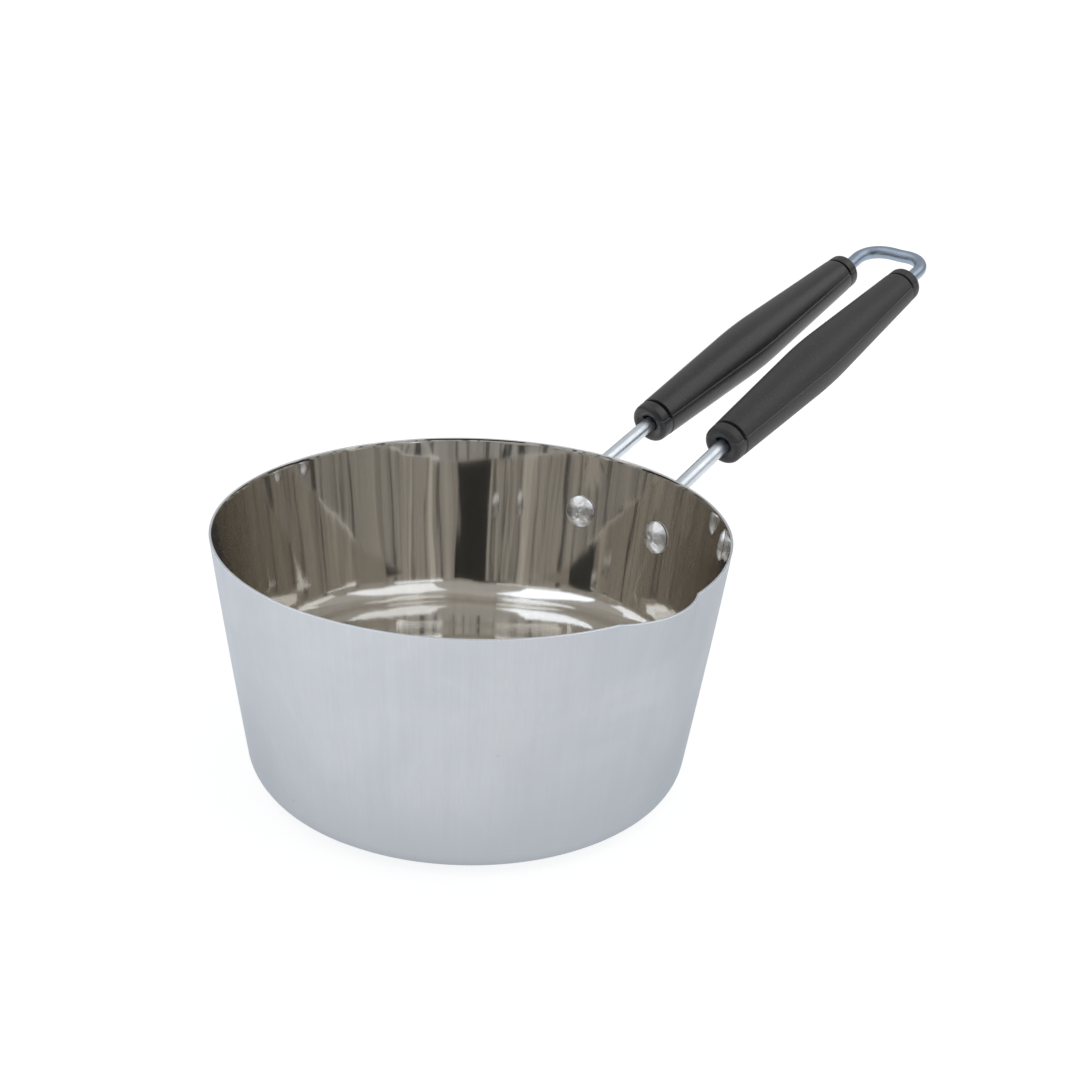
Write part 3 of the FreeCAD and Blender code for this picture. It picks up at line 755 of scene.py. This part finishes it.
def outer_section(x, r, groove, upper):
    """(y, z) across a shell's outside, from seam to seam."""
    seam, play, edge = math.asin(SEAM_Z / r), 0.012 / r, 0.22 / r
    if upper:
        low, high, count = seam + play, math.pi - seam - play, 45
    else:
        low, high, count = math.pi - seam + play, 2 * math.pi + seam - play, 67
    body = np.linspace(low + edge, high - edge, count)
    angle = np.concatenate([[low, low + edge * 0.5], body, [high - edge * 0.5, high]])
    radius = np.full(len(angle), r)
    if upper:
        radius[[0, -1]] -= 0.10
        radius[[1, -2]] -= 0.02
    else:
        # fine ridge along the seam; the ring groove dies out below it
        radius[[0, 1, -2, -1]] += 0.09
        if groove:
            level = 7.36 if x < 60 else 6.9
            away = np.minimum(angle - angle[0], angle[-1] - angle)
            fill = smoothstep(math.radians(5), math.radians(13), away)
            radius += (level - 0.12 - r) * fill
    return radius * np.cos(angle), radius * np.sin(angle)


def inner_section(r, count, upper):
    """(y, z) across a shell's inside, from seam to seam."""
    if upper:
        # over the wire, no lower than the seam
        half = max(BORE_R, math.sqrt(max(r * r - SEAM_Z * SEAM_Z, 0.0)))
        y = half * np.cos(np.linspace(0, math.pi, count))
        return y, np.maximum(SEAM_Z, np.sqrt(np.maximum(r * r - y * y, 0.0)))
    y, z = np.zeros(count), np.zeros(count)
    arc_share = 0.55  # half round below the wire; the rest are its upright sides
    for i, t in enumerate(np.linspace(-1, 1, count)):
        if abs(t) > arc_share:
            z[i] = SEAM_Z * (abs(t) - arc_share) / 0.45
            y[i] = math.copysign(math.sqrt(max(r * r - z[i] * z[i], BORE_R**2)), t)
        else:
            angle = math.pi / 2 * t / arc_share
            y[i], z[i] = r * math.sin(angle), -r * math.cos(angle)
    return y, z


def grip_shell(name, upper, side, node):
    outer, inner = [], []
    for x, r, groove in grip_outline():
        y, z = outer_section(x, r, groove, upper)
        along = np.full(len(y), x)
        outer.append(np.stack([along, y, z], 1))
        inner.append(np.stack([along, *inner_section(bore(x), len(y), upper)], 1))
    rows, columns = len(outer), len(outer[0])
    verts = np.concatenate(outer + inner)
    inside = rows * columns  # first inner vertex
    faces = []
    for i in range(rows - 1):
        a, b = i * columns, (i + 1) * columns
        for j in range(columns - 1):
            faces.append((a + j, a + j + 1, b + j + 1, b + j))
            c, d = inside + a + j, inside + b + j
            faces.append((c, d, d + 1, c + 1))
        for j in (0, columns - 1):
            faces.append((a + j, b + j, inside + b + j, inside + a + j))
    for i in (0, rows - 1):
        for j in range(columns - 1):
            a = i * columns + j
            faces.append((a, a + 1, inside + a + 1, inside + a))
    turn, start = grip_place(side)
    verts = verts @ np.array(turn).T + start
    obj = build(name, verts, faces, [GRIP_MAT[side]])
    clean(obj, sharp_degrees=38)
    register(obj, node)


for side, hand in ((1, "left"), (-1, "right")):
    for half in ("upper", "lower"):
        grip_shell(f"grip_shell_{half}_{hand}", half == "upper", side, f"grip_{half}_{hand}")


# ------------------------------------------------------------------ rivets
RIVET_SEGMENTS = 72
HEAD_R, HEAD_RISE = 5.45, 3.1  # dome inside the pan
TAIL_R, TAIL_RISE = 4.0, 1.4  # dome outside, over the wire's flat end
HEAD_BASE = -GAUGE - 0.21
# (radius, height out of the wall, weight of the dents) from head to tail
SHANK = (
    (HEAD_R + 0.02, HEAD_BASE - 0.10, 0.3), (HEAD_R - 0.02, HEAD_BASE + 0.02, 0.0),
    (HEAD_R - 0.4, HEAD_BASE + 0.05, 0.0), (2.4, HEAD_BASE + 0.05, 0.0), (2.4, 2.06, 0.0),
    (3.75, 2.06, 0.0), (3.98, 2.10, 0.0), (4.0, 2.2, 0.0), (3.9, 2.36, 0.2),
)


def rivet_rows():
    sphere = (HEAD_R**2 + HEAD_RISE**2) / (2 * HEAD_RISE)
    top = HEAD_BASE - HEAD_RISE
    rows = []
    for angle in np.linspace(0.0, math.asin(HEAD_R / sphere) * 0.985, 26):
        rows.append((sphere * math.sin(angle), top + sphere * (1 - math.cos(angle)), 1.0))
    rows += SHANK
    sphere = (TAIL_R**2 + TAIL_RISE**2) / (2 * TAIL_RISE)
    top = 2.1 + TAIL_RISE
    for angle in np.linspace(math.asin(3.8 / sphere), 0, 12):
        rows.append((sphere * math.sin(angle), top - sphere * (1 - math.cos(angle)), 0.6))
    return rows


def rivet(name, side, node, seed):
    origin, out, down, across = wall_frame(side)
    rng = np.random.default_rng(seed)
    count = RIVET_SEGMENTS
    rows = rivet_rows()
    # dents: distance from the axis, angle, radius, depth
    lows, highs = (0.4, 0, 0.45, 0.05), (4.7, 2 * math.pi, 1.0, 0.15)
    dents = [[rng.uniform(*span) for span in zip(lows, highs)] for _ in range(26)]
    verts = []
    for r, height, weight in rows:
        for k in range(count if r > 1e-6 else 1):
            t = 2 * math.pi * k / count
            x, y = r * math.cos(t), r * math.sin(t)
            sink = -0.03 * math.cos(3.1 * x + seed) * math.cos(2.7 * y)
            for reach, angle, radius, depth in dents:
                dx, dy = x - reach * math.cos(angle), y - reach * math.sin(angle)
                sink += depth * math.exp(-(dx**2 + dy**2) / radius**2)
            sign = 1.0 if height < 0 else -1.0
            verts.append(origin + out * (height + sign * sink * weight) + down * x + across * y)
    faces = []
    for i in range(1, len(rows) - 2):
        a = 1 + (i - 1) * count
        for k in range(count):
            after = (k + 1) % count
            faces.append((a + k, a + after, a + count + after, a + count + k))
    a = 1 + (len(rows) - 3) * count
    for k in range(count):
        after = (k + 1) % count
        faces.append((0, 1 + k, 1 + after))
        faces.append((len(verts) - 1, a + after, a + k))
    obj = build(name, verts, faces, [RIVET_MAT])
    clean(obj, sharp_degrees=55)
    register(obj, node)


rivet("rivet_set_left", 1, "rivet_left", seed=11)
rivet("rivet_set_right", -1, "rivet_right", seed=23)


# ------------------------------------------------------------- floor, light
def floor():
    half, z = 9000, -0.02
    seen_glow = 1.42  # the floor's own light as the camera sees it
    mat, net = material("studio_floor")
    # other rays find it brighter to the camera's left, a painted pool of light, and dimmer by
    # the pan, a painted shadow
    x, y, _ = net.split(net.position())
    across = net.weigh((x, 0.667), (y, -0.745))
    glow = net.ramp(across, span=(-0.30, 0.30), to=(1.46, 1.16))
    glow = net.mul(glow, net.ramp(net.radius(x, y), span=(0.06, 0.16), to=(0.88, 1)))
    seen = net.node("ShaderNodeLightPath").outputs["Is Camera Ray"]
    strength = net.add(net.mul(seen, seen_glow), net.mul(net.sub(1.0, seen), glow))
    diffuse = net.node("ShaderNodeBsdfDiffuse", rgb(0.90, 0.90, 0.90))
    emission = net.node("ShaderNodeEmission", rgb(1.0, 1.0, 1.0), strength)
    emission_share = 0.55
    net.node("ShaderNodeOutputMaterial", net.mix_shader(emission_share, diffuse, emission))
    verts = [(-half, -half, z), (half, -half, z), (half, half, z), (-half, half, z)]
    build("studio_floor", verts, [(0, 1, 2, 3)], [mat], smooth=False)


floor()

# narrow strips of the room: azimuth, half width, softness (degrees), gain
ROOM_STRIPS = (
    (30, 1.5, 0.3, -0.7), (-20, 1.5, 0.3, -0.8), (-95, 1.0, 0.3, -0.8), (175, 1.0, 0.3, -0.8),
    (95, 2.0, 0.3, -0.8), (-50, 2.5, 0.6, 0.6), (-80, 2.5, 0.6, 0.6), (145, 7.0, 1.0, 0.4),
)
RIB_PITCH, RIB_SWING, RIB_MEAN = 3.7, 0.6, 0.95  # ribs of the softboxes; pitch in degrees
LEFT_BOX = 0.6  # strength of the camera's left softbox against the right one
BOX_FIRST, BOX_DEEPER = 0.75, 1.15  # softbox gain, and its rise after repeated reflection
GAP_DARK = 0.97
NOISE_SHIFT = 500.0  # sets the seams apart from the strips


def studio():
    """Soft white studio: the camera sees a white backdrop, every other ray
    sees walls, two side softboxes, a bright ceiling and the dark gap that the
    camera stands in. Angles are in degrees."""
    world = bpy.data.worlds.new("studio")
    scene.world = world
    world.use_nodes = True
    net = Graph(world.node_tree)
    x, y, z = net.split(net.node("ShaderNodeTexCoord").outputs["Generated"])
    azimuth = net.mul(net.calc("ARCTAN2", y, x), 180 / math.pi)
    elevation = net.mul(net.calc("ARCSINE", z), 180 / math.pi)

    def patch(az, el, soft):
        return net.mul(net.band(azimuth, *az, soft[0]), net.band(elevation, *el, soft[1]))

    low = net.ramp(elevation, span=(26, 34), to=(1, 0))
    light = net.add(
        net.ramp(elevation, span=(14, 28), to=(0.43, 0.60)),
        net.ramp(elevation, span=(60, 80), to=(0, 0.04)),
    )
    # lighter and darker strips and dark seams round the walls
    strips = net.noise(azimuth, scale=0.09, detail=4, rough=0.6, dims="1D")
    strips = net.linear(strips, span=(0.35, 0.65), to=(-0.20, 0.20))
    light = net.mul(light, net.add(1.0, low, amount=strips))
    seams = net.noise(net.add(azimuth, NOISE_SHIFT), scale=0.22, detail=1, dims="1D")
    seams = net.ramp(seams, span=(0.62, 0.66), to=(0, 0.55))
    light = net.mul(light, net.sub(1.0, net.mul(low, seams)))
    for middle, half, soft, gain in ROOM_STRIPS:
        strip = net.mul(net.band(azimuth, middle - half, middle + half, soft), low)
        light = net.mul(light, net.add(1.0, strip, amount=gain))
    # softboxes: mild at first, burnt out in repeated mirror images
    ribs = net.calc("SINE", net.mul(azimuth, 2 * math.pi / RIB_PITCH))
    ribs = net.add(net.mul(ribs, RIB_SWING), RIB_MEAN)
    boxes = net.add(
        patch(az=(-94, -16), el=(31, 79), soft=(0.4, 0.6)),
        patch(az=(84, 176), el=(33, 77), soft=(0.4, 0.6)),
        amount=LEFT_BOX,
    )
    path = net.node("ShaderNodeLightPath")
    deep = net.calc("GREATER_THAN", path.outputs["Glossy Depth"], 1.5)
    gain = net.add(net.mul(deep, BOX_DEEPER), BOX_FIRST)
    light = net.add(light, net.mul(net.mul(boxes, ribs), gain))
    # the gap, with an upper part that crosses azimuth 180
    upper_gap = net.calc(
        "MAXIMUM",
        patch(az=(-190, -141), el=(28, 34), soft=(0.35, 0.5)),
        patch(az=(162, 190), el=(28, 34), soft=(0.35, 0.5)),
    )
    lower_gap = patch(az=(-162, -114), el=(5, 30.5), soft=(0.35, 0.4))
    gap = net.calc("MAXIMUM", lower_gap, upper_gap)
    light = net.mul(light, net.sub(1.0, net.mul(gap, GAP_DARK)))
    colour = net.mix(net.mul(boxes, deep), rgb(0.99, 1.0, 1.008), rgb(0.88, 1.0, 1.18))
    room = net.node("ShaderNodeBackground", colour, light)
    backdrop = net.node("ShaderNodeBackground", rgb(1.0, 1.0, 1.0), 1.0)
    shader = net.mix_shader(path.outputs["Is Camera Ray"], room, backdrop)
    net.node("ShaderNodeOutputWorld", shader)


studio()

scene.view_settings.view_transform = "Standard"
scene.view_settings.look = "None"
# the scene has these settings only while Cycles is enabled
if hasattr(scene, "cycles"):
    # enough mirror bounces for the polished inside
    scene.cycles.max_bounces = 14
    scene.cycles.glossy_bounces = 12


# ------------------------------------------------------------------ camera
CAMERA_PITCH, CAMERA_ROLL = 0.39926194, 0.04306837  # radians; pitch is downwards
CAMERA_TURN = math.radians(-50.66)  # about Z, from looking along +Y
CAMERA_PLACE = (20.8213, -483.9780, 281.4637)  # before the turn


def camera():
    cos_pitch, sin_pitch = math.cos(CAMERA_PITCH), math.sin(CAMERA_PITCH)
    level = Vector((1, 0, 0))
    forward = Vector((0, cos_pitch, -sin_pitch))
    upward = Vector((0, sin_pitch, cos_pitch))
    right = level * math.cos(CAMERA_ROLL) + upward * math.sin(CAMERA_ROLL)
    up = -level * math.sin(CAMERA_ROLL) + upward * math.cos(CAMERA_ROLL)
    spin = Matrix.Rotation(CAMERA_TURN, 3, "Z")
    axes = Matrix([spin @ axis for axis in (right, up, -forward)]).transposed()
    place = spin @ Vector(CAMERA_PLACE) * MM
    data = bpy.data.cameras.new("camera")
    data.sensor_width = 36.0
    data.lens = 56.666667
    data.clip_start = 0.01
    data.clip_end = 50.0
    cam = bpy.data.objects.new("camera", data)
    cam.matrix_world = Matrix.Translation(place) @ axes.to_4x4()
    scene.collection.objects.link(cam)
    scene.camera = cam


camera()

bpy.context.view_layer.update()
